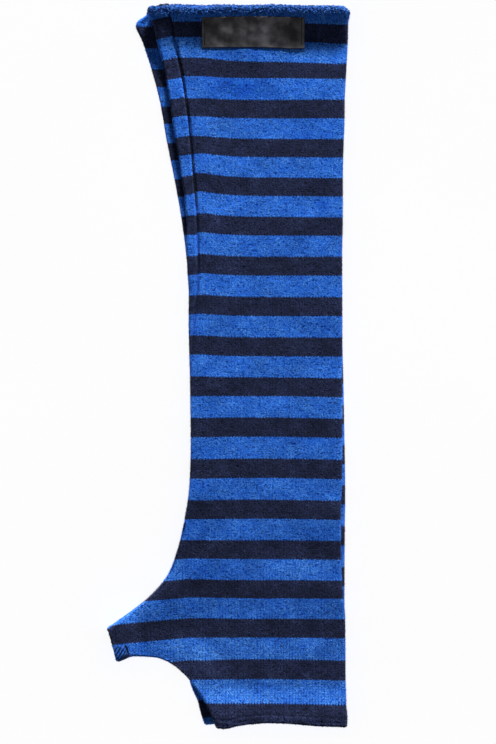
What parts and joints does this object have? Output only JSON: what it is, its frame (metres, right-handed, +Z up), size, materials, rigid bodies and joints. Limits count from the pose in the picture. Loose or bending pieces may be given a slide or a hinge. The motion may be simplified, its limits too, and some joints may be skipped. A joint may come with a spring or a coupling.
{
  "type": "pair of knitted arm warmers",
  "caption": "Long striped plush-knit arm warmers with thumb holes, laid flat one on the other, with turned hems and a bare woven label at the arm hem.",
  "frame": {"origin": "middle of the pair in plan, on the surface that it lies on", "axes": "+Y runs along the warmers towards the arm openings, +X towards the folded little-finger sides, +Z up out of the pile"},
  "size_m": [0.1673, 0.5, 0.0141],
  "materials": {
    "knit": "plush knit in royal blue and navy stripes",
    "label_satin": "charcoal woven satin, bare"
  },
  "bodies": {
    "root": {"upper_front": "knit", "upper_back": "knit", "lower_front": "knit", "lower_back": "knit", "label": "label_satin"}
  },
  "joints": []
}
